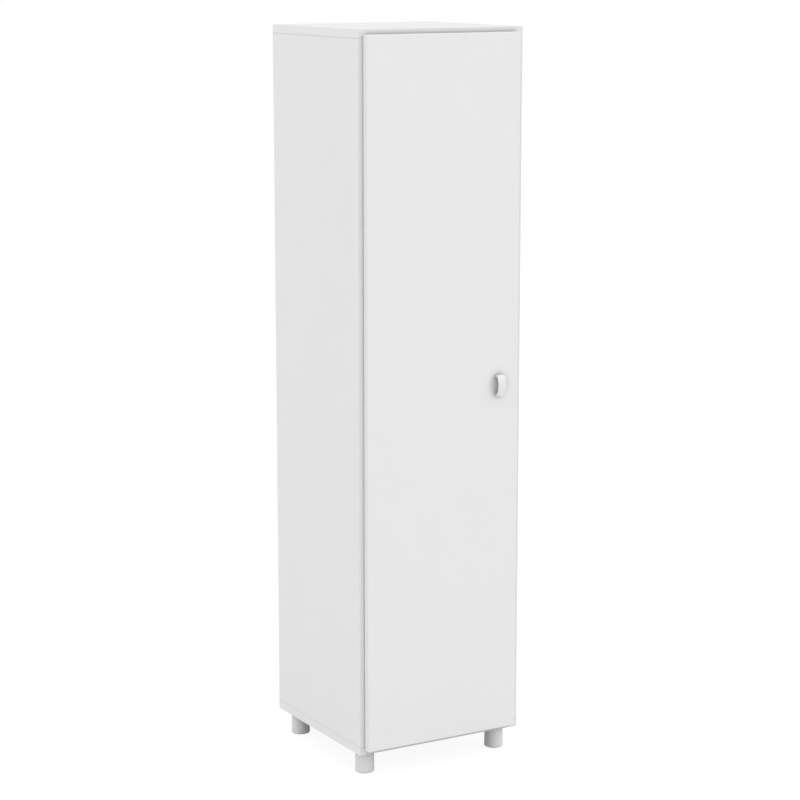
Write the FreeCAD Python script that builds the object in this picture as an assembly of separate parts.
import FreeCAD, Part
import math
import os

V = FreeCAD.Vector

# Tall one-door cupboard on four feet.  Millimetres, origin on the floor under the middle of the
# overall box, +Z up, the door faces -Y, +X is to the right seen from the front.

# Carcass boards
BODY_WIDTH = 400.0
BODY_DEPTH = 379.0
BODY_HEIGHT = 1548.0
BOARD = 18.0
BOARD_ROUND = 0.8

# Door: laps over the carcass edges and leaves a strip of them showing, widest on the handle side
DOOR_THICKNESS = 16.0
DOOR_GAP = 3.0
REVEAL = 10.5
HANDLE_SIDE_REVEAL = 16.5
DOOR_ROUND = 2.0

# Hardboard back, let into a rebate
BACK_THICKNESS = 3.0
BACK_SET_IN = 1.0
REBATE_WIDTH = 8.0
BACK_CLEARANCE = 0.5

# Loose shelf on four pins, with spare pin holes above and below
SHELF_UNDERSIDE = 1252.0
SHELF_SET_BACK = 20.0
SHELF_SIDE_CLEARANCE = 0.5
SHELF_BACK_CLEARANCE = 2.0
PIN_HOLE_RADIUS = 2.5
PIN_HOLE_DEPTH = 11.0
PIN_HOLE_PITCH = 32.0
PIN_HOLES_PER_ROW = 5
PIN_FRONT_INSET = 60.0
PIN_REAR_INSET = 64.0
SHELF_PIN_GRIP = 9.0
SHELF_PIN_LEDGE = 9.0
SHELF_PIN_LEDGE_WIDTH = 11.0
SHELF_PIN_LEDGE_THICKNESS = 1.8

# Knock-down joints: cam, bolt and dowel at each end of a side
CAM_RADIUS = 7.5
CAM_DEPTH = 12.5
CAM_BACKSET = 34.0
CAM_FRONT_INSET = 50.0
CAM_REAR_INSET = 60.0
CAM_RECESS_LENGTH = 9.0
CAM_RECESS_WIDTH = 1.6
CAM_RECESS_DEPTH = 2.5
BOLT_SHANK_RADIUS = 3.4
BOLT_BORE_RADIUS = 4.0
BOLT_THREAD_RADIUS = 2.5
BOLT_THREAD_LENGTH = 11.0
BOLT_NECK_RADIUS = 2.0
BOLT_HEAD_RADIUS = 3.2
BOLT_HEAD_LENGTH = 2.6
BOLT_HEAD_CLEARANCE = 0.25
DOWEL_RADIUS = 4.0
DOWEL_LENGTH = 34.0
DOWEL_IN_LID = 11.0
DOWEL_CHAMFER = 1.0
DOWEL_INSET = 40.0

# Feet
FOOT_HEIGHT = 52.0
FOOT_RADIUS = 21.0
FOOT_TOP_RADIUS = 20.3
FOOT_ROUND = 2.0
FOOT_SIDE_INSET = 34.0
FOOT_END_INSET = 40.0
GLIDE_RADIUS = 17.5
GLIDE_THICKNESS = 3.0
GLIDE_SEAT = 2.0
GLIDE_CHAMFER = 0.5
FOOT_WELL_RADIUS = 6.5
FOOT_WELL_DEPTH = 34.0
FOOT_SCREW_RADIUS = 2.5
FOOT_SCREW_HEAD_RADIUS = 5.0
FOOT_SCREW_HEAD_HEIGHT = 3.2
FOOT_SCREW_GRIP = 13.0

# Handle: a bowed strap on two short legs, with a moulded peg behind each
HANDLE_WIDTH = 18.5
HANDLE_HEIGHT = 47.0
HANDLE_PROJECTION = 16.0
HANDLE_LEG = 10.5
HANDLE_STRAP = 2.8
HANDLE_FOOT = 5.5
HANDLE_SHOULDER = 3.0
HANDLE_ROUND = 0.7
HANDLE_CENTRE_HEIGHT = 837.5
HANDLE_EDGE_INSET = 49.0
HANDLE_PEG_RADIUS = 2.6
HANDLE_PEG_LENGTH = 10.0
HANDLE_SCREW_RADIUS = 1.4
HANDLE_SCREW_GRIP = 7.0
HANDLE_SCREW_HEAD_RADIUS = 3.2
HANDLE_SCREW_HEAD_HEIGHT = 2.0

# Single-pivot cup hinges with a swan-neck arm
HINGE_END_INSET = 110.0
PIVOT_INSET = 7.0
PIVOT_DEPTH = 10.0
PIVOT_RADIUS = 1.5
PIVOT_LENGTH = 17.0
RUNNING_CLEARANCE = 0.05
EYE_RADIUS = 2.7
EYE_CLEARANCE = 0.3
CUP_RADIUS = 17.5
CUP_EDGE = 2.5
CUP_FLOOR = 0.8
CUP_ROUND = 1.2
CUP_SLOT_REACH = 12.0
CUP_DISH_RADIUS = 14.0
CUP_DISH_DEPTH = 9.0
CUP_CHEEK = 8.5
FLANGE_RADIUS = 18.3
FLANGE_THICKNESS = 1.2
CUP_WING_RADIUS = 7.0
CUP_SCREW_SPACING = 48.0
CUP_SCREW_OFFSET = 6.0
ARM_THICKNESS = 3.2
ARM_HEIGHT = 8.0
ARM_SLOT_CLEARANCE = 0.4
ARM_DOOR_CLEARANCE = 1.8
ELBOW_RADIUS = 4.0
SADDLE_WIDTH = 16.8
SADDLE_FLANGE = 1.5
SADDLE_DEPTH = 6.0
SADDLE_START = 12.0
SADDLE_ROUND = 1.2
PLATE_SETBACK = 37.0
PLATE_FRONT = 17.0
PLATE_REAR = 21.0
ARM_PAST_PLATE = 3.0
BOSS_WIDTH = 12.8
BOSS_ROUND = 1.0
WING_THICKNESS = 2.5
WING_RADIUS = 7.0
PLATE_SCREW_SPACING = 32.0
ARM_SCREW_RADIUS = 2.4
ARM_SCREW_GRIP = 8.0
ARM_SCREW_HEAD_RADIUS = 4.0
ARM_SCREW_HEAD_HEIGHT = 2.2
ARM_SCREW_BACK = 9.0
ARM_SLOT_LENGTH = 10.0
ADJUSTER_FORWARD = 9.0

# Wood screws of the hinges, the catch and its strike
SCREW_RADIUS = 1.75
SCREW_HEAD_RADIUS = 3.5
SCREW_HEAD_HEIGHT = 1.9
SCREW_GRIP = 11.0
SCREW_POINT = 3.0

# Magnetic catch and strike
CATCH_HEIGHT = 960.0
CATCH_LENGTH = 30.0
CATCH_EAR = 10.0
CATCH_WIDTH = 14.0
CATCH_DEPTH = 17.0
CATCH_SET_BACK = 0.5
CATCH_EAR_DEPTH = 4.0
CATCH_WALL = 2.4
CATCH_POLE = 1.5
CATCH_AIR = 0.3
STRIKE_LENGTH = 38.0
STRIKE_WIDTH = 12.0
STRIKE_THICKNESS = 1.2
STRIKE_SCREW_INSET = 6.0

# Door buffers
BUFFER_RADIUS = 3.0
BUFFER_EDGE_INSET = 20.0
BUFFER_AIR = 0.3
BUFFER_ROUND = 0.8

# Slip round fixed pins, screws and dowels
FIT = 0.05
# Extra length that carries a cutting tool past the face it opens
THROUGH = 1.0

# Places worked out from the sizes above
OVERALL_DEPTH = BODY_DEPTH + DOOR_GAP + DOOR_THICKNESS + HANDLE_PROJECTION
Y_BACK = OVERALL_DEPTH / 2
Y_FRONT = Y_BACK - BODY_DEPTH
Y_DOOR_BACK = Y_FRONT - DOOR_GAP
Y_DOOR_FRONT = Y_DOOR_BACK - DOOR_THICKNESS
X_SIDE = BODY_WIDTH / 2
X_INNER = X_SIDE - BOARD
X_HINGE_EDGE = REVEAL - X_SIDE
X_HANDLE_EDGE = X_SIDE - HANDLE_SIDE_REVEAL
Z_BOTTOM = FOOT_HEIGHT
Z_FLOOR = Z_BOTTOM + BOARD
Z_TOP = Z_BOTTOM + BODY_HEIGHT
Z_CEILING = Z_TOP - BOARD
Z_DOOR_LOW = Z_BOTTOM + REVEAL
Z_DOOR_HIGH = Z_TOP - REVEAL
REBATE_DEPTH = BACK_THICKNESS + BACK_SET_IN
Y_REBATE = Y_BACK - REBATE_DEPTH

PIN_YS = (Y_FRONT + PIN_FRONT_INSET, Y_BACK - PIN_REAR_INSET)
PIN_Z = SHELF_UNDERSIDE - SHELF_PIN_LEDGE_THICKNESS - PIN_HOLE_RADIUS
CAM_YS = (Y_FRONT + CAM_FRONT_INSET, Y_BACK - CAM_REAR_INSET)
DOWEL_YS = (CAM_YS[0] + DOWEL_INSET, CAM_YS[1] - DOWEL_INSET)
X_JOINT = X_SIDE - BOARD / 2

PIVOT_X = X_HINGE_EDGE + PIVOT_INSET
PIVOT_Y = Y_DOOR_BACK - PIVOT_DEPTH
CUP_X = X_HINGE_EDGE + CUP_EDGE + CUP_RADIUS
CUP_DEPTH = PIVOT_DEPTH + EYE_RADIUS + EYE_CLEARANCE + CUP_FLOOR
CUP_SCREW_X = CUP_X + CUP_SCREW_OFFSET
ARM_NEAR = PIVOT_X + PIVOT_DEPTH + FLANGE_THICKNESS + ARM_DOOR_CLEARANCE
ARM_FAR = ARM_NEAR + ARM_THICKNESS
PLATE_Y = Y_FRONT + PLATE_SETBACK
HINGE_LOW = Z_DOOR_LOW + HINGE_END_INSET
HINGE_HIGH = Z_DOOR_HIGH - HINGE_END_INSET
HINGE_ZS = {"lower": HINGE_LOW, "middle": (HINGE_LOW + HINGE_HIGH) / 2, "upper": HINGE_HIGH}

HANDLE_X = X_HANDLE_EDGE - HANDLE_EDGE_INSET
HANDLE_PEG_RISE = HANDLE_HEIGHT / 2 - HANDLE_FOOT / 2
HANDLE_PEG_ZS = (HANDLE_CENTRE_HEIGHT - HANDLE_PEG_RISE, HANDLE_CENTRE_HEIGHT + HANDLE_PEG_RISE)

CATCH_X = X_INNER - CATCH_WIDTH / 2
CATCH_SCREW_RISE = CATCH_LENGTH / 2 + CATCH_EAR / 2
CATCH_SCREW_ZS = (CATCH_HEIGHT - CATCH_SCREW_RISE, CATCH_HEIGHT + CATCH_SCREW_RISE)
Y_CATCH = Y_FRONT + CATCH_SET_BACK
CATCH_SCREW_Y = Y_CATCH + CATCH_DEPTH / 2
STRIKE_SCREW_RISE = STRIKE_LENGTH / 2 - STRIKE_SCREW_INSET
STRIKE_SCREW_ZS = (CATCH_HEIGHT - STRIKE_SCREW_RISE, CATCH_HEIGHT + STRIKE_SCREW_RISE)

BUFFER_X = X_HANDLE_EDGE - BUFFER_EDGE_INSET
BUFFER_ZS = ((Z_DOOR_LOW + Z_FLOOR) / 2, (Z_DOOR_HIGH + Z_CEILING) / 2)

FOOT_XS = {"left": -X_SIDE + FOOT_SIDE_INSET, "right": X_SIDE - FOOT_SIDE_INSET}
FOOT_YS = {"front": Y_FRONT + FOOT_END_INSET, "rear": Y_BACK - FOOT_END_INSET}
FOOT_CORNERS = [(row, side) for row in FOOT_YS for side in FOOT_XS]

LEFT = V(-1, 0, 0)
RIGHT = V(1, 0, 0)
FORWARD = V(0, -1, 0)
BACKWARD = V(0, 1, 0)
UP = V(0, 0, 1)


def block(x, y, z):
    """A box between two limits on each axis, given in either order."""
    low = V(min(x), min(y), min(z))
    return Part.makeBox(abs(x[1] - x[0]), abs(y[1] - y[0]), abs(z[1] - z[0]), low)


def rod(radius, start, direction, length):
    """A round bar from a point along a direction."""
    return Part.makeCylinder(radius, length, start, direction)


def turned(outline):
    """A solid of revolution about Z from (radius, height) points."""
    points = [V(radius, 0, height) for radius, height in outline]
    face = Part.Face(Part.makePolygon(points + points[:1]))
    return face.revolve(V(0, 0, 0), UP, 360)


def aimed(shape, point, direction):
    """A copy of a shape with its +Z turned to a direction and its origin at a point."""
    placed = shape.copy()
    placed.Placement = FreeCAD.Placement(point, FreeCAD.Rotation(UP, direction))
    return placed


def board(x, y, z, radius):
    """A board with every edge eased by a small radius."""
    plain = block(x, y, z)
    return plain.makeFillet(radius, plain.Edges)


def wood_screw():
    """Countersunk screw, head at the origin and point along +Z."""
    neck = SCREW_GRIP - SCREW_POINT
    return turned([(0, 0), (SCREW_HEAD_RADIUS, 0), (SCREW_RADIUS, SCREW_HEAD_HEIGHT),
                   (SCREW_RADIUS, neck), (0, SCREW_GRIP)])


def screw_seat(point, direction):
    """Tool that cuts a countersink and pilot hole for one wood screw."""
    neck = SCREW_GRIP - SCREW_POINT
    seat = turned([(0, 0), (SCREW_HEAD_RADIUS + FIT, 0), (SCREW_RADIUS + FIT, SCREW_HEAD_HEIGHT),
                   (SCREW_RADIUS + FIT, neck), (FIT, SCREW_GRIP + FIT), (0, SCREW_GRIP + FIT)])
    return aimed(seat, point, direction)


def machine_screw(head_radius, head_height, radius, length):
    """Pan-head screw, underside of the head at the origin and shank along +Z."""
    crown = head_height / 3
    return turned([(0, -head_height), (head_radius - crown, -head_height), (head_radius, crown - head_height),
                   (head_radius, 0), (radius, 0), (radius, length), (0, length)])


def plate_screw_points():
    """Outer face of each hinge plate wing, where its screw heads sit."""
    rise = PLATE_SCREW_SPACING / 2
    x = -X_INNER + WING_THICKNESS
    return [V(x, PLATE_Y, z + step) for z in HINGE_ZS.values() for step in (-rise, rise)]


def cup_screw_points():
    """Face of each cup flange, where its screw heads sit."""
    rise = CUP_SCREW_SPACING / 2
    y = Y_DOOR_BACK + FLANGE_THICKNESS
    return [V(CUP_SCREW_X, y, z + step) for z in HINGE_ZS.values() for step in (-rise, rise)]


def catch_screw_points():
    """Face of the catch's ears."""
    return [V(X_INNER - CATCH_EAR_DEPTH, CATCH_SCREW_Y, z) for z in CATCH_SCREW_ZS]


def strike_screw_points():
    """Face of the strike."""
    return [V(CATCH_X, Y_DOOR_BACK + STRIKE_THICKNESS, z) for z in STRIKE_SCREW_ZS]


def joint_ends():
    """Each end of a side that meets the top or bottom: side sign, height, direction into the side."""
    return [(side, z, into) for side in (-1, 1) for z, into in ((Z_FLOOR, 1), (Z_CEILING, -1))]


def side_panel(side):
    """Side board with its rebate, joint bores, shelf pin holes and screw holes."""
    panel = board((side * X_INNER, side * X_SIDE), (Y_FRONT, Y_BACK), (Z_FLOOR, Z_CEILING), BOARD_ROUND)
    inner = side * X_INNER
    outward = V(side, 0, 0)
    tools = [block((inner - side * THROUGH, inner + side * REBATE_WIDTH), (Y_REBATE, Y_BACK + THROUGH),
                   (Z_FLOOR - THROUGH, Z_CEILING + THROUGH))]
    for joint_side, z, into in joint_ends():
        if joint_side != side:
            continue
        for y in CAM_YS:
            tools.append(rod(CAM_RADIUS, V(inner, y, z + into * CAM_BACKSET), outward, CAM_DEPTH))
            tools.append(rod(BOLT_BORE_RADIUS, V(side * X_JOINT, y, z), V(0, 0, into), CAM_BACKSET))
        for y in DOWEL_YS:
            depth = DOWEL_LENGTH - DOWEL_IN_LID + FIT
            tools.append(rod(DOWEL_RADIUS + FIT, V(side * X_JOINT, y, z), V(0, 0, into), depth))
    for y in PIN_YS:
        for step in range(PIN_HOLES_PER_ROW):
            z = PIN_Z + (step - PIN_HOLES_PER_ROW // 2) * PIN_HOLE_PITCH
            tools.append(rod(PIN_HOLE_RADIUS, V(inner, y, z), outward, PIN_HOLE_DEPTH))
    points = plate_screw_points() if side < 0 else catch_screw_points()
    tools += [screw_seat(point, outward) for point in points]
    return panel.cut(tools)


def lid_panel(outer, inner):
    """Top or bottom board between its outer and inner heights, lying over the ends of the sides."""
    panel = board((-X_SIDE, X_SIDE), (Y_FRONT, Y_BACK), (outer, inner), BOARD_ROUND)
    away = math.copysign(1, outer - inner)
    outward = V(0, 0, away)
    rebate_x = X_INNER + REBATE_WIDTH
    tools = [block((-rebate_x, rebate_x), (Y_REBATE, Y_BACK + THROUGH),
                   (inner - away * THROUGH, inner + away * REBATE_WIDTH))]
    for x in (-X_JOINT, X_JOINT):
        for y in CAM_YS:
            tools.append(rod(BOLT_THREAD_RADIUS + FIT, V(x, y, inner), outward, BOLT_THREAD_LENGTH + FIT))
        for y in DOWEL_YS:
            tools.append(rod(DOWEL_RADIUS + FIT, V(x, y, inner), outward, DOWEL_IN_LID + FIT))
    return panel.cut(tools)


def bottom_panel():
    """Bottom board, with pilot holes for the screws that hold the feet."""
    depth = FOOT_SCREW_GRIP + FIT
    holes = [rod(FOOT_SCREW_RADIUS + FIT, V(FOOT_XS[side], FOOT_YS[row], Z_BOTTOM), UP, depth)
             for row, side in FOOT_CORNERS]
    return lid_panel(Z_BOTTOM, Z_FLOOR).cut(holes)


def back_panel():
    """Hardboard sheet lying on the floor of the rebate."""
    x = X_INNER + REBATE_WIDTH - BACK_CLEARANCE
    low = Z_FLOOR - REBATE_WIDTH + BACK_CLEARANCE
    high = Z_CEILING + REBATE_WIDTH - BACK_CLEARANCE
    return block((-x, x), (Y_REBATE, Y_REBATE + BACK_THICKNESS), (low, high))


def shelf():
    """Loose shelf, short of the door in front and of the back behind."""
    x = X_INNER - SHELF_SIDE_CLEARANCE
    y = (Y_FRONT + SHELF_SET_BACK, Y_REBATE - SHELF_BACK_CLEARANCE)
    return board((-x, x), y, (SHELF_UNDERSIDE, SHELF_UNDERSIDE + BOARD), BOARD_ROUND)


def shelf_pin(side, y):
    """Pin in a hole of the side, with a flat ledge under the shelf."""
    inner = side * X_INNER
    inward = V(-side, 0, 0)
    start = V(inner + side * SHELF_PIN_GRIP, y, PIN_Z)
    pin = rod(PIN_HOLE_RADIUS - FIT, start, inward, SHELF_PIN_GRIP + SHELF_PIN_LEDGE)
    half = SHELF_PIN_LEDGE_WIDTH / 2
    top = SHELF_UNDERSIDE
    ledge = block((inner, inner - side * SHELF_PIN_LEDGE), (y - half, y + half),
                  (top - SHELF_PIN_LEDGE_THICKNESS, top))
    web_half = PIN_HOLE_RADIUS - FIT
    web = block((inner, inner - side * SHELF_PIN_LEDGE), (y - web_half, y + web_half), (PIN_Z, top))
    return pin.fuse([ledge, web]).removeSplitter()


def cam_bolt(side, y, z, into):
    """Bolt screwed into the top or bottom, with its head in the middle of the cam."""
    head_end = CAM_BACKSET + BOLT_HEAD_LENGTH / 2
    neck_end = head_end - BOLT_HEAD_LENGTH
    shank_end = CAM_BACKSET - CAM_RADIUS - BOLT_HEAD_CLEARANCE
    tip = -BOLT_THREAD_LENGTH
    bolt = turned([(0, tip), (BOLT_THREAD_RADIUS, tip), (BOLT_THREAD_RADIUS, 0), (BOLT_SHANK_RADIUS, 0),
                   (BOLT_SHANK_RADIUS, shank_end), (BOLT_NECK_RADIUS, shank_end),
                   (BOLT_NECK_RADIUS, neck_end), (BOLT_HEAD_RADIUS, neck_end),
                   (BOLT_HEAD_RADIUS, head_end), (0, head_end)])
    return aimed(bolt, V(side * X_JOINT, y, z), V(0, 0, into))


def cam_lock(side, y, z, into):
    """Cam disc in the side, hollowed for the bolt's neck and head, with a cross recess on its face."""
    inner = side * X_INNER
    outward = V(side, 0, 0)
    centre_z = z + into * CAM_BACKSET
    cam = rod(CAM_RADIUS - FIT, V(inner, y, centre_z), outward, CAM_DEPTH)
    axis_x = side * X_JOINT
    pocket = BOLT_HEAD_LENGTH / 2 + BOLT_HEAD_CLEARANCE
    tools = [rod(BOLT_HEAD_RADIUS + BOLT_HEAD_CLEARANCE, V(axis_x, y, centre_z - pocket), UP, 2 * pocket),
             rod(BOLT_NECK_RADIUS + BOLT_HEAD_CLEARANCE, V(axis_x, y, centre_z), V(0, 0, -into), CAM_RADIUS)]
    long_half = CAM_RECESS_LENGTH / 2
    wide_half = CAM_RECESS_WIDTH / 2
    face = (inner - side * THROUGH, inner + side * CAM_RECESS_DEPTH)
    tools.append(block(face, (y - long_half, y + long_half), (centre_z - wide_half, centre_z + wide_half)))
    tools.append(block(face, (y - wide_half, y + wide_half), (centre_z - long_half, centre_z + long_half)))
    return cam.cut(tools)


def dowel(side, y, z, into):
    """Chamfered dowel, part in the top or bottom and the rest in the end of the side."""
    low = -DOWEL_IN_LID
    high = DOWEL_LENGTH - DOWEL_IN_LID
    narrow = DOWEL_RADIUS - DOWEL_CHAMFER
    peg = turned([(0, low), (narrow, low), (DOWEL_RADIUS, low + DOWEL_CHAMFER),
                  (DOWEL_RADIUS, high - DOWEL_CHAMFER), (narrow, high), (0, high)])
    return aimed(peg, V(side * X_JOINT, y, z), V(0, 0, into))


def foot(row, side):
    """Round moulded foot, a little slimmer at the top, with a seat for the glide and a well for the screw."""
    low = GLIDE_THICKNESS - GLIDE_SEAT
    body = Part.makeCone(FOOT_RADIUS, FOOT_TOP_RADIUS, FOOT_HEIGHT - low, V(0, 0, low), UP)
    rim = [edge for edge in body.Edges if edge.BoundBox.ZMax < low + FIT and edge.Length > FOOT_RADIUS]
    body = body.makeFillet(FOOT_ROUND, rim)
    well = GLIDE_THICKNESS + FOOT_WELL_DEPTH
    tools = [rod(GLIDE_RADIUS + FIT, V(0, 0, 0), UP, GLIDE_THICKNESS),
             rod(FOOT_WELL_RADIUS, V(0, 0, 0), UP, well),
             rod(FOOT_SCREW_RADIUS + FIT, V(0, 0, 0), UP, FOOT_HEIGHT + THROUGH)]
    return aimed(body.cut(tools), V(FOOT_XS[side], FOOT_YS[row], 0), UP)


def foot_glide(row, side):
    """Disc seated in the underside of a foot; the cupboard stands on it."""
    pad = turned([(0, 0), (GLIDE_RADIUS - GLIDE_CHAMFER, 0), (GLIDE_RADIUS, GLIDE_CHAMFER),
                  (GLIDE_RADIUS, GLIDE_THICKNESS), (0, GLIDE_THICKNESS)])
    return aimed(pad, V(FOOT_XS[side], FOOT_YS[row], 0), UP)


def foot_screw(row, side):
    """Screw up through the foot's well into the bottom board."""
    seat = GLIDE_THICKNESS + FOOT_WELL_DEPTH
    length = FOOT_HEIGHT - seat + FOOT_SCREW_GRIP
    screw = machine_screw(FOOT_SCREW_HEAD_RADIUS, FOOT_SCREW_HEAD_HEIGHT, FOOT_SCREW_RADIUS, length)
    return aimed(screw, V(FOOT_XS[side], FOOT_YS[row], seat), UP)


def door_panel():
    """Door board with its cup bores and screw holes."""
    panel = board((X_HINGE_EDGE, X_HANDLE_EDGE), (Y_DOOR_BACK, Y_DOOR_FRONT), (Z_DOOR_LOW, Z_DOOR_HIGH),
                  DOOR_ROUND)
    tools = [rod(CUP_RADIUS, V(CUP_X, Y_DOOR_BACK, z), FORWARD, CUP_DEPTH + FIT) for z in HINGE_ZS.values()]
    tools += [screw_seat(point, FORWARD) for point in cup_screw_points() + strike_screw_points()]
    peg_depth = HANDLE_PEG_LENGTH + FIT
    for z in HANDLE_PEG_ZS:
        tools.append(rod(HANDLE_PEG_RADIUS + FIT, V(HANDLE_X, Y_DOOR_FRONT, z), BACKWARD, peg_depth))
        tools.append(rod(HANDLE_SCREW_RADIUS + FIT, V(HANDLE_X, Y_DOOR_BACK, z), FORWARD, DOOR_THICKNESS))
    return panel.cut(tools)


def bracket(half_height, leg, crown):
    """Side view of a bowed bracket: out along the lower leg, up over the bow, back along the upper leg."""
    low = V(HANDLE_X, Y_DOOR_FRONT, HANDLE_CENTRE_HEIGHT - half_height)
    high = V(HANDLE_X, Y_DOOR_FRONT, HANDLE_CENTRE_HEIGHT + half_height)
    low_knee = low + FORWARD * leg
    high_knee = high + FORWARD * leg
    middle = V(HANDLE_X, Y_DOOR_FRONT - crown, HANDLE_CENTRE_HEIGHT)
    legs = [Part.makeLine(low, low_knee), Part.makeLine(high_knee, high)]
    return low, high, legs + [Part.Arc(low_knee, middle, high_knee).toShape()]


def handle():
    """Bowed strap on two legs: the space between two brackets, with a drilled peg behind each leg."""
    outer_low, outer_high, outer = bracket(HANDLE_HEIGHT / 2, HANDLE_LEG, HANDLE_PROJECTION)
    inner_low, inner_high, inner = bracket(HANDLE_HEIGHT / 2 - HANDLE_FOOT, HANDLE_LEG - HANDLE_STRAP,
                                           HANDLE_PROJECTION - HANDLE_STRAP)
    feet = [Part.makeLine(outer_high, inner_high), Part.makeLine(inner_low, outer_low)]
    section = Part.Face(Part.Wire(Part.__sortEdges__(outer + inner + feet)))
    section.translate(V(-HANDLE_WIDTH / 2, 0, 0))
    strap = section.extrude(V(HANDLE_WIDTH, 0, 0))
    clear = Y_DOOR_FRONT - FIT
    knees = [edge for edge in strap.Edges if edge.BoundBox.XLength > FIT and edge.BoundBox.YMax < clear]
    strap = strap.makeFillet(HANDLE_SHOULDER, knees)
    rims = [edge for edge in strap.Edges if edge.BoundBox.XLength < FIT and edge.BoundBox.YMin < clear]
    strap = strap.makeFillet(HANDLE_ROUND, rims)
    pegs = [rod(HANDLE_PEG_RADIUS, V(HANDLE_X, Y_DOOR_FRONT, z), BACKWARD, HANDLE_PEG_LENGTH)
            for z in HANDLE_PEG_ZS]
    strap = strap.fuse(pegs).removeSplitter()
    peg_end = Y_DOOR_FRONT + HANDLE_PEG_LENGTH
    drilled = [rod(HANDLE_SCREW_RADIUS + FIT, V(HANDLE_X, peg_end, z), FORWARD, HANDLE_SCREW_GRIP + FIT)
               for z in HANDLE_PEG_ZS]
    return strap.cut(drilled)


def handle_screw(z):
    """Screw from the back of the door into a peg of the handle."""
    length = DOOR_THICKNESS - HANDLE_PEG_LENGTH + HANDLE_SCREW_GRIP
    screw = machine_screw(HANDLE_SCREW_HEAD_RADIUS, HANDLE_SCREW_HEAD_HEIGHT, HANDLE_SCREW_RADIUS, length)
    return aimed(screw, V(HANDLE_X, Y_DOOR_BACK, z), FORWARD)


def hinge_cup(z):
    """Cast cup in the door: a slot for the arm, a dish, cheeks that hold the pivot, and a flange."""
    mouth = V(CUP_X, Y_DOOR_BACK, z)
    cup = rod(CUP_RADIUS - FIT, mouth, FORWARD, CUP_DEPTH)
    sunk = Y_DOOR_BACK - FIT
    floor = [edge for edge in cup.Edges if edge.BoundBox.YMax < sunk and edge.Length > CUP_RADIUS]
    cup = cup.makeFillet(CUP_ROUND, floor)
    rise = CUP_SCREW_SPACING / 2
    flange_y = (Y_DOOR_BACK, Y_DOOR_BACK + FLANGE_THICKNESS)
    wing_x = (CUP_SCREW_X - CUP_WING_RADIUS, CUP_SCREW_X + CUP_WING_RADIUS)
    flange = [rod(FLANGE_RADIUS, mouth, BACKWARD, FLANGE_THICKNESS),
              block(wing_x, flange_y, (z - rise, z + rise))]
    flange += [rod(CUP_WING_RADIUS, V(CUP_SCREW_X, Y_DOOR_BACK, z + step), BACKWARD, FLANGE_THICKNESS)
               for step in (-rise, rise)]
    cup = cup.fuse(flange).removeSplitter()
    slot_half = ARM_HEIGHT / 2 + ARM_SLOT_CLEARANCE
    open_y = Y_DOOR_BACK + FLANGE_THICKNESS + THROUGH
    slot = block((PIVOT_X - EYE_RADIUS - EYE_CLEARANCE, CUP_X + CUP_SLOT_REACH),
                 (Y_DOOR_BACK - CUP_DEPTH + CUP_FLOOR, open_y), (z - slot_half, z + slot_half))
    dish = rod(CUP_DISH_RADIUS, V(CUP_X, open_y, z), FORWARD, open_y - Y_DOOR_BACK + CUP_DISH_DEPTH)
    dish = dish.common(block((PIVOT_X + CUP_CHEEK, CUP_X + CUP_RADIUS),
                             (Y_DOOR_BACK - CUP_DEPTH, open_y), (z - CUP_RADIUS, z + CUP_RADIUS)))
    pin_hole = rod(PIVOT_RADIUS, V(PIVOT_X, PIVOT_Y, z - PIVOT_LENGTH / 2), UP, PIVOT_LENGTH)
    points = [point for point in cup_screw_points() if abs(point.z - z) < CUP_SCREW_SPACING]
    return cup.cut([slot, dish, pin_hole] + [screw_seat(point, FORWARD) for point in points])


def hinge_pivot(z):
    """Pivot pin held in the cheeks of the cup."""
    return rod(PIVOT_RADIUS, V(PIVOT_X, PIVOT_Y, z - PIVOT_LENGTH / 2), UP, PIVOT_LENGTH)


def quarter_bend(centre, radius, start, end):
    """Arc of the arm's elbow between two points, seen in plan."""
    reach = radius * math.sqrt(0.5)
    return Part.Arc(start, centre + V(reach, -reach, 0), end).toShape()


def swan_neck(z):
    """Plan outline of the arm: from the front of the eye, round the elbow, and back into the cupboard."""
    half = ARM_THICKNESS / 2
    end_y = PLATE_Y + PLATE_REAR + ARM_PAST_PLATE
    front_y = PIVOT_Y - EYE_RADIUS
    rear_y = front_y + ARM_THICKNESS
    bend = V(ARM_NEAR + half - ELBOW_RADIUS, front_y + half + ELBOW_RADIUS, z)
    front = [V(PIVOT_X, front_y, z), V(bend.x, front_y, z), V(ARM_FAR, bend.y, z)]
    tail = [V(ARM_FAR, end_y, z), V(ARM_NEAR, end_y, z)]
    rear = [V(ARM_NEAR, bend.y, z), V(bend.x, rear_y, z), V(PIVOT_X, rear_y, z)]
    edges = [Part.makeLine(front[0], front[1]),
             quarter_bend(bend, ELBOW_RADIUS + half, front[1], front[2]),
             Part.makeLine(front[2], tail[0]), Part.makeLine(tail[0], tail[1]),
             Part.makeLine(tail[1], rear[0]),
             quarter_bend(bend, ELBOW_RADIUS - half, rear[0], rear[1]),
             Part.makeLine(rear[1], rear[2]), Part.makeLine(rear[2], front[0])]
    return Part.Face(Part.Wire(edges))


def arm_slot(y, z):
    """Tool for the slot that lets the arm be set in and out under its fixing screw."""
    run = ARM_SLOT_LENGTH / 2 - ARM_SCREW_RADIUS
    across = ARM_SCREW_RADIUS + FIT
    x = (ARM_NEAR - THROUGH, ARM_FAR + THROUGH)
    ends = [rod(across, V(x[0], y + step, z), RIGHT, x[1] - x[0]) for step in (-run, run)]
    return block(x, (y - run, y + run), (z - across, z + across)).fuse(ends)


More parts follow.
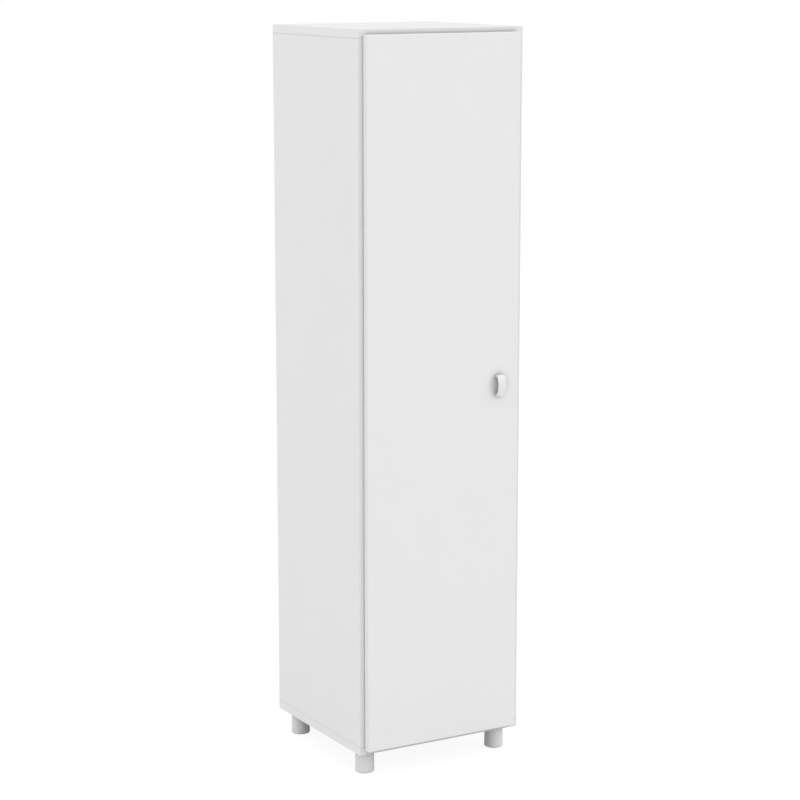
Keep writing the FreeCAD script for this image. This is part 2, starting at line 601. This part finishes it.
def hinge_arm(z):
    """Swan-neck arm: an eye round the pivot, a bent neck, and a channel that straddles the plate."""
    low = z - ARM_HEIGHT / 2
    arm = swan_neck(low).extrude(V(0, 0, ARM_HEIGHT))
    eye = rod(EYE_RADIUS, V(PIVOT_X, PIVOT_Y, low), UP, ARM_HEIGHT)
    half = SADDLE_WIDTH / 2
    saddle_y = (Y_FRONT + SADDLE_START, PLATE_Y + PLATE_REAR + ARM_PAST_PLATE)
    saddle = block((ARM_NEAR - SADDLE_DEPTH, ARM_FAR), saddle_y, (z - half, z + half))
    outer = [edge for edge in saddle.Edges
             if abs(edge.BoundBox.XMin - ARM_FAR) < FIT and edge.BoundBox.YLength > SADDLE_WIDTH]
    saddle = saddle.makeFillet(SADDLE_ROUND, outer)
    hollow_half = half - SADDLE_FLANGE
    hollow = block((ARM_NEAR - SADDLE_DEPTH - THROUGH, ARM_NEAR),
                   (saddle_y[0] - THROUGH, saddle_y[1] + THROUGH), (z - hollow_half, z + hollow_half))
    arm = arm.fuse([eye, saddle.cut(hollow)]).removeSplitter()
    bore = rod(PIVOT_RADIUS + RUNNING_CLEARANCE, V(PIVOT_X, PIVOT_Y, low), UP, ARM_HEIGHT)
    adjuster = rod(ARM_SCREW_RADIUS + FIT, V(ARM_NEAR, PLATE_Y - ADJUSTER_FORWARD, z), RIGHT, ARM_THICKNESS)
    return arm.cut([bore, adjuster, arm_slot(PLATE_Y + ARM_SCREW_BACK, z)])


def hinge_plate(z):
    """Mounting plate on the left side: two screw wings and a raised boss that carries the arm."""
    half = BOSS_WIDTH / 2
    rise = PLATE_SCREW_SPACING / 2
    boss = block((-X_INNER, ARM_NEAR), (PLATE_Y - PLATE_FRONT, PLATE_Y + PLATE_REAR), (z - half, z + half))
    upright = [edge for edge in boss.Edges if edge.BoundBox.XLength > WING_THICKNESS]
    boss = boss.makeFillet(BOSS_ROUND, upright)
    wing_x = (-X_INNER, -X_INNER + WING_THICKNESS)
    wings = [block(wing_x, (PLATE_Y - WING_RADIUS, PLATE_Y + WING_RADIUS), (z - rise, z + rise))]
    wings += [rod(WING_RADIUS, V(-X_INNER, PLATE_Y, z + step), RIGHT, WING_THICKNESS)
              for step in (-rise, rise)]
    plate = boss.fuse(wings).removeSplitter()
    tapped = rod(ARM_SCREW_RADIUS + FIT, V(ARM_NEAR, PLATE_Y + ARM_SCREW_BACK, z), LEFT, ARM_SCREW_GRIP + FIT)
    points = [point for point in plate_screw_points() if abs(point.z - z) < PLATE_SCREW_SPACING]
    return plate.cut([tapped] + [screw_seat(point, LEFT) for point in points])


def arm_screws(z):
    """Fixing screw through the arm into the plate, and the adjuster that bears on the plate."""
    fixing = machine_screw(ARM_SCREW_HEAD_RADIUS, ARM_SCREW_HEAD_HEIGHT, ARM_SCREW_RADIUS,
                           ARM_THICKNESS + ARM_SCREW_GRIP)
    adjuster = machine_screw(ARM_SCREW_HEAD_RADIUS, ARM_SCREW_HEAD_HEIGHT, ARM_SCREW_RADIUS, ARM_THICKNESS)
    return [aimed(fixing, V(ARM_FAR, PLATE_Y + ARM_SCREW_BACK, z), LEFT),
            aimed(adjuster, V(ARM_FAR, PLATE_Y - ADJUSTER_FORWARD, z), LEFT)]


def catch_housing():
    """Moulded body of the catch with two screw ears and a pocket that opens at the front."""
    half = CATCH_LENGTH / 2
    long_half = half + CATCH_EAR
    body = block((X_INNER - CATCH_WIDTH, X_INNER), (Y_CATCH, Y_CATCH + CATCH_DEPTH),
                 (CATCH_HEIGHT - half, CATCH_HEIGHT + half))
    body = body.makeFillet(BOSS_ROUND, [edge for edge in body.Edges if edge.BoundBox.XMax < X_INNER - FIT])
    ears = block((X_INNER - CATCH_EAR_DEPTH, X_INNER), (Y_CATCH, Y_CATCH + CATCH_DEPTH),
                 (CATCH_HEIGHT - long_half, CATCH_HEIGHT + long_half))
    pocket_half = half - CATCH_WALL
    pocket = block((X_INNER - CATCH_WIDTH + CATCH_WALL, X_INNER - CATCH_WALL),
                   (Y_CATCH - THROUGH, Y_CATCH + CATCH_DEPTH - CATCH_WALL),
                   (CATCH_HEIGHT - pocket_half, CATCH_HEIGHT + pocket_half))
    seats = [screw_seat(point, RIGHT) for point in catch_screw_points()]
    return body.fuse(ears).removeSplitter().cut([pocket] + seats)


def catch_poles():
    """Two steel pole plates along the walls of the pocket, reaching forward to the strike."""
    pocket_half = CATCH_LENGTH / 2 - CATCH_WALL
    y = (Y_DOOR_BACK + STRIKE_THICKNESS + CATCH_AIR, Y_CATCH + CATCH_DEPTH - CATCH_WALL)
    z = (CATCH_HEIGHT - pocket_half, CATCH_HEIGHT + pocket_half)
    near = X_INNER - CATCH_WALL
    far = X_INNER - CATCH_WIDTH + CATCH_WALL
    return [block((near - CATCH_POLE, near), y, z), block((far, far + CATCH_POLE), y, z)]


def catch_magnet():
    """Magnet block between the pole plates."""
    pocket_half = CATCH_LENGTH / 2 - CATCH_WALL
    x = (X_INNER - CATCH_WIDTH + CATCH_WALL + CATCH_POLE, X_INNER - CATCH_WALL - CATCH_POLE)
    return block(x, (Y_CATCH, Y_CATCH + CATCH_DEPTH - CATCH_WALL),
                 (CATCH_HEIGHT - pocket_half, CATCH_HEIGHT + pocket_half))


def strike_plate():
    """Steel strip on the back of the door that the catch holds."""
    half = STRIKE_LENGTH / 2
    plate = block((CATCH_X - STRIKE_WIDTH / 2, CATCH_X + STRIKE_WIDTH / 2),
                  (Y_DOOR_BACK, Y_DOOR_BACK + STRIKE_THICKNESS), (CATCH_HEIGHT - half, CATCH_HEIGHT + half))
    corners = [edge for edge in plate.Edges if edge.BoundBox.YLength > FIT]
    plate = plate.makeFillet(STRIKE_WIDTH / 4, corners)
    return plate.cut([screw_seat(point, FORWARD) for point in strike_screw_points()])


def door_buffer(z):
    """Soft button on the back of the door, just short of the front edge of the top or bottom board."""
    height = DOOR_GAP - BUFFER_AIR
    button = turned([(0, 0), (BUFFER_RADIUS, 0), (BUFFER_RADIUS, height - BUFFER_ROUND),
                     (BUFFER_RADIUS - BUFFER_ROUND, height), (0, height)])
    return aimed(button, V(BUFFER_X, Y_DOOR_BACK, z), BACKWARD)


def screws(points, direction):
    """One wood screw at each point."""
    return [aimed(wood_screw(), point, direction) for point in points]


def write(node, shapes):
    """Save one sub-part: a single solid, or a group of separate like solids."""
    shape = shapes if isinstance(shapes, Part.Shape) else Part.makeCompound(shapes)
    shape.exportStep(os.path.join("parts", node + ".step"))
    print(f"{node:24s} solids {len(shape.Solids):2d}  volume {shape.Volume:12.1f}  valid {shape.isValid()}")


def main():
    os.makedirs("parts", exist_ok=True)
    write("left_side_panel", side_panel(-1))
    write("right_side_panel", side_panel(1))
    write("top_panel", lid_panel(Z_TOP, Z_CEILING))
    write("bottom_panel", bottom_panel())
    write("back_panel", back_panel())
    write("shelf", shelf())
    write("shelf_pins", [shelf_pin(side, y) for side in (-1, 1) for y in PIN_YS])
    write("cam_bolts", [cam_bolt(side, y, z, into) for side, z, into in joint_ends() for y in CAM_YS])
    write("cam_locks", [cam_lock(side, y, z, into) for side, z, into in joint_ends() for y in CAM_YS])
    write("dowels", [dowel(side, y, z, into) for side, z, into in joint_ends() for y in DOWEL_YS])
    for row, side in FOOT_CORNERS:
        write(f"foot_{row}_{side}", foot(row, side))
        write(f"glide_{row}_{side}", foot_glide(row, side))
    write("foot_screws", [foot_screw(row, side) for row, side in FOOT_CORNERS])
    write("door_panel", door_panel())
    write("handle", handle())
    write("handle_screws", [handle_screw(z) for z in HANDLE_PEG_ZS])
    for level, z in HINGE_ZS.items():
        write(f"hinge_cup_{level}", hinge_cup(z))
        write(f"hinge_pivot_{level}", hinge_pivot(z))
        write(f"hinge_arm_{level}", hinge_arm(z))
        write(f"hinge_plate_{level}", hinge_plate(z))
        write(f"hinge_arm_screws_{level}", arm_screws(z))
    write("cup_screws", screws(cup_screw_points(), FORWARD))
    write("plate_screws", screws(plate_screw_points(), LEFT))
    write("catch_housing", catch_housing())
    write("catch_poles", catch_poles())
    write("catch_magnet", catch_magnet())
    write("catch_screws", screws(catch_screw_points(), RIGHT))
    write("strike_plate", strike_plate())
    write("strike_screws", screws(strike_screw_points(), FORWARD))
    write("door_buffers", [door_buffer(z) for z in BUFFER_ZS])
    clearance = DOOR_GAP + PIVOT_DEPTH - math.hypot(PIVOT_INSET, PIVOT_DEPTH)
    print(f"pivot at x {PIVOT_X:.2f} y {PIVOT_Y:.2f}; door corner clears the carcass by {clearance:.2f}")


main()
